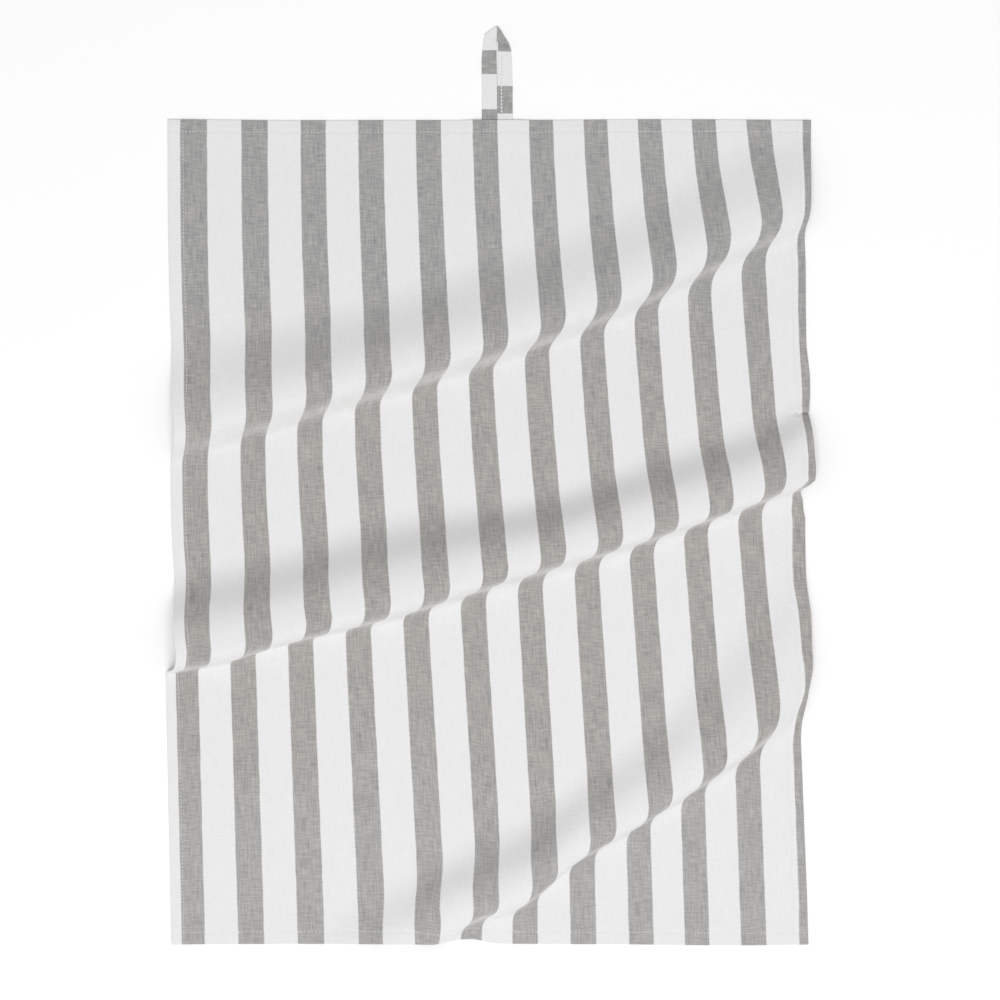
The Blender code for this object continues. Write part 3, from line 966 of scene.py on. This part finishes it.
class StageSettings(bpy.types.PropertyGroup):
    """The floor, the light and the camera."""

    floor: tone("Floor", "Colour of the floor", (0.985, 0.985, 0.985))
    floor_size: metres("Floor size", "Width and length of the floor", 8.0)
    camera_height: metres("Camera height", "Height of the camera over the floor", 1.5)
    view_width: metres("View width", "Width of the floor that the camera sees", 0.765)
    view_right: metres("View right", "How far to the right of the model the view is", 0.0085)
    view_down: metres("View down", "How far below the middle of the model the view is", 0.0108)
    sky: factor("Sky", "Strength of the even light from all round", 0.525)
    lamp: FloatProperty(name="Lamp", description="Power of the large soft lamp", default=77.0,
                        min=0.0, unit="POWER")
    lamp_size: metres("Lamp size", "Width of the large soft lamp", 2.4)


class TeaTowelSettings(bpy.types.PropertyGroup):
    """Everything about the towel that a user would change."""

    cloth: PointerProperty(type=TowelClothSettings, name="Cloth", description="The cloth")
    loop: PointerProperty(type=HangingLoopSettings, name="Loop", description="The hanging loop")
    stitches: PointerProperty(type=StitchSettings, name="Stitches", description="The stitches")
    stage: PointerProperty(type=StageSettings, name="Stage", description="Floor, light, camera")


def settings():
    """The scene's settings for the towel."""
    return bpy.context.scene.tea_towel


# ------------------------- sewing and stage


def sew_hems(cloth, sewing, white):
    """Sew a line of stitches along each of the four hems, on both sides of the cloth."""
    laid = LaidCloth(cloth, settings().loop)
    pitch, visible, thread = sewing.pitch / MM, sewing.stitch / MM, sewing.thread / MM
    side = cloth.side_hem / MM - STITCH_INSET
    end = cloth.end_hem / MM - STITCH_INSET
    width = float(laid.across[-1])
    lines = (
        ("top_hem_stitches", width, lambda step: (step, end)),
        ("bottom_hem_stitches", width, lambda step: (step, -end)),
        ("left_hem_stitches", laid.along[0, -1], lambda step: (side, step)),
        ("right_hem_stitches", laid.along[-1, -1], lambda step: (-side, step)),
    )
    for name, line_length, where in lines:
        shape = bmesh.new()
        count = int((line_length - FREE_ENDS) / pitch)
        start = (line_length - count * pitch) / 2.0
        for number in range(count):
            step = start + number * pitch
            for layer, other_layer in (("upper", "under"), ("under", "upper")):
                first = laid.spot(*where(step), layer)
                last = laid.spot(*where(step + visible), layer)
                other = laid.spot(*where(step), other_layer)
                add_stitch(shape, first, last, first - other, thread)
        piece = new_piece(name, shape, white)


def sew_loop(sewing, white):
    """Sew the seam along the loop's right strand, and its two tack stitches."""
    pitch, visible = sewing.pitch / MM, sewing.stitch / MM
    tape = LoopTape(settings().loop)
    half = tape.thickness / 2.0
    up = Vector((0.0, 0.0, 1.0))
    shape = bmesh.new()
    for number in range(SEAM_STITCHES):
        place = tape.length - SEAM_START - number * pitch
        ends = [tape.spot(place - step, SEAM_ASIDE, half) for step in (0.0, SEAM_STITCH)]
        add_stitch(shape, *ends, up, SEAM_THREAD)
    new_piece("loop_seam_stitches", shape, white)
    shape = bmesh.new()
    for share in TACK_SHARES:
        place = tape.crossing + tape.crossing_length * share
        ends = [tape.spot(place + step, TACK_ASIDE, -half) for step in (0.0, visible)]
        add_stitch(shape, *ends, up, TACK_THREAD)
    dark = sewing_thread("dark_thread", sewing.dark)
    new_piece("loop_tack_stitches", shape, dark)


def add_floor(stage):
    """Put down the pale floor."""
    shape = bmesh.new()
    bmesh.ops.create_grid(shape, x_segments=1, y_segments=1, size=stage.floor_size / 2.0)
    floor = new_object("floor", shape, pale_floor(stage.floor))


def add_light(stage, scene):
    """Light the towel evenly from all round, and softly from beyond its lower edge."""
    world = bpy.data.worlds.new("even_light")
    world.use_nodes = True
    sky = world.node_tree.nodes["Background"]
    sky.inputs["Color"].default_value = (1.0, 1.0, 1.0, 1.0)
    sky.inputs["Strength"].default_value = stage.sky
    scene.world = world
    light = bpy.data.lights.new("soft_lamp", "AREA")
    light.shape = "RECTANGLE"
    light.size = stage.lamp_size
    light.size_y = stage.lamp_size / 2.0
    light.energy = stage.lamp
    lamp = bpy.data.objects.new("soft_lamp", light)
    lamp.location = LAMP_PLACE
    lamp.rotation_euler = (-lamp.location).to_track_quat("-Z", "Y").to_euler()
    scene.collection.objects.link(lamp)


def add_camera(stage, scene):
    """Look at the towel from straight above."""
    view = bpy.data.cameras.new("view_from_above")
    view.lens = view.sensor_width * stage.camera_height / stage.view_width
    camera = bpy.data.objects.new("view_from_above", view)
    camera.location = (stage.view_right, -stage.view_down, stage.camera_height)
    scene.collection.objects.link(camera)
    scene.camera = camera


# ------------------------- operators


class AddTowelCloth(bpy.types.Operator):
    """Lay out the cloth with its three folds and turned hems"""

    bl_idname = "tea_towel.add_cloth"
    bl_label = "Towel Cloth"

    def execute(self, context):
        cloth = settings().cloth
        laid = LaidCloth(cloth, settings().loop)
        columns, rows = laid.along.shape
        layers = {True: laid.upper, False: laid.under}
        cut_length = cloth.cut_length

        def pattern(column, row):
            along = laid.along[column, row] / laid.along[column, -1]
            return laid.across[column] * MM, along * cut_length

        # The bend attribute carries the painted light on the fold fronts.
        shape = slab(columns - 1, rows - 1, lambda c, r, up: layers[up][c, r], pattern,
                     lambda c, r: laid.bend[c, r])
        piece = new_piece("striped_towel_cloth", shape, cotton(), "towel_cloth")
        return {"FINISHED"}


class AddHangingLoop(bpy.types.Operator):
    """Fold the tape of the hanging loop and lay it under the top hem"""

    bl_idname = "tea_towel.add_loop"
    bl_label = "Hanging Loop"

    def execute(self, context):
        tape = LoopTape(settings().loop)
        half = tape.width / 2.0
        first = settings().cloth.first_stripe
        inner = np.linspace(-half + TAPE_EDGE_STEPS[-1], half - TAPE_EDGE_STEPS[-1], TAPE_COLUMNS)
        edge = [half - step for step in TAPE_EDGE_STEPS[:-1]]
        asides = [-aside for aside in edge] + list(inner) + edge[::-1]
        radius = tape.thickness / 2.0

        def place(column, row, is_upper):
            aside = asides[column]
            inward = min((half - abs(aside)) / radius, 1.0)
            height = max(radius * math.sqrt(1.0 - (1.0 - inward) ** 2), EDGE_NOSE)
            where, slant = tape.rows[row]
            return tape.spot(where + slant * aside, aside, height if is_upper else -height)

        def pattern(column, row):
            where, slant = tape.rows[row]
            aside = asides[column]
            across = tape.in_stripes(where + slant * aside, aside) * MM
            return across + first, TAPE_CUT + aside * MM

        shape = slab(len(asides) - 1, len(tape.rows) - 1, place, pattern, lambda c, r: 0.0)
        piece = new_piece("striped_hanging_loop", shape, cotton(), "hanging_loop")
        return {"FINISHED"}


class AddStitches(bpy.types.Operator):
    """Sew the hems and the loop"""

    bl_idname = "tea_towel.add_stitches"
    bl_label = "Stitches"

    def execute(self, context):
        sewing = settings().stitches
        white = sewing_thread("white_thread", sewing.white)
        sew_hems(settings().cloth, sewing, white)
        sew_loop(sewing, white)
        return {"FINISHED"}


class AddStage(bpy.types.Operator):
    """Put down the floor, and set the light and the camera"""

    bl_idname = "tea_towel.add_stage"
    bl_label = "Floor, Light and Camera"

    def execute(self, context):
        stage, scene = settings().stage, context.scene
        scene.view_settings.view_transform = "Standard"
        add_floor(stage)
        add_light(stage, scene)
        add_camera(stage, scene)
        return {"FINISHED"}


class TeaTowelPanel(bpy.types.Panel):
    """The towel's pieces and settings"""

    bl_idname = "VIEW3D_PT_tea_towel"
    bl_label = "Striped Tea Towel"
    bl_space_type = "VIEW_3D"
    bl_region_type = "UI"
    bl_category = "Tea Towel"

    def draw(self, context):
        for operator in PIECES:
            self.layout.operator(operator.bl_idname, text=operator.bl_label)
        towel = settings()
        for group in (towel.cloth, towel.loop, towel.stitches, towel.stage):
            box = self.layout.box()
            for name in group.__annotations__:
                box.prop(group, name)


PIECES = (AddTowelCloth, AddHangingLoop, AddStitches, AddStage)
CLASSES = (
    TowelClothSettings, HangingLoopSettings, StitchSettings, StageSettings, TeaTowelSettings,
    *PIECES, TeaTowelPanel,
)


def register():
    """Make the settings, operators and panel known."""
    for item in CLASSES:
        bpy.utils.register_class(item)
    bpy.types.Scene.tea_towel = PointerProperty(type=TeaTowelSettings)


def unregister():
    """Take them away again."""
    del bpy.types.Scene.tea_towel
    for item in reversed(CLASSES):
        bpy.utils.unregister_class(item)


def main():
    """Make the towel."""
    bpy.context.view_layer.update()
    register()
    for operator in ("add_cloth", "add_loop", "add_stitches", "add_stage"):
        getattr(bpy.ops.tea_towel, operator)()


if __name__ == "__main__":
    main()
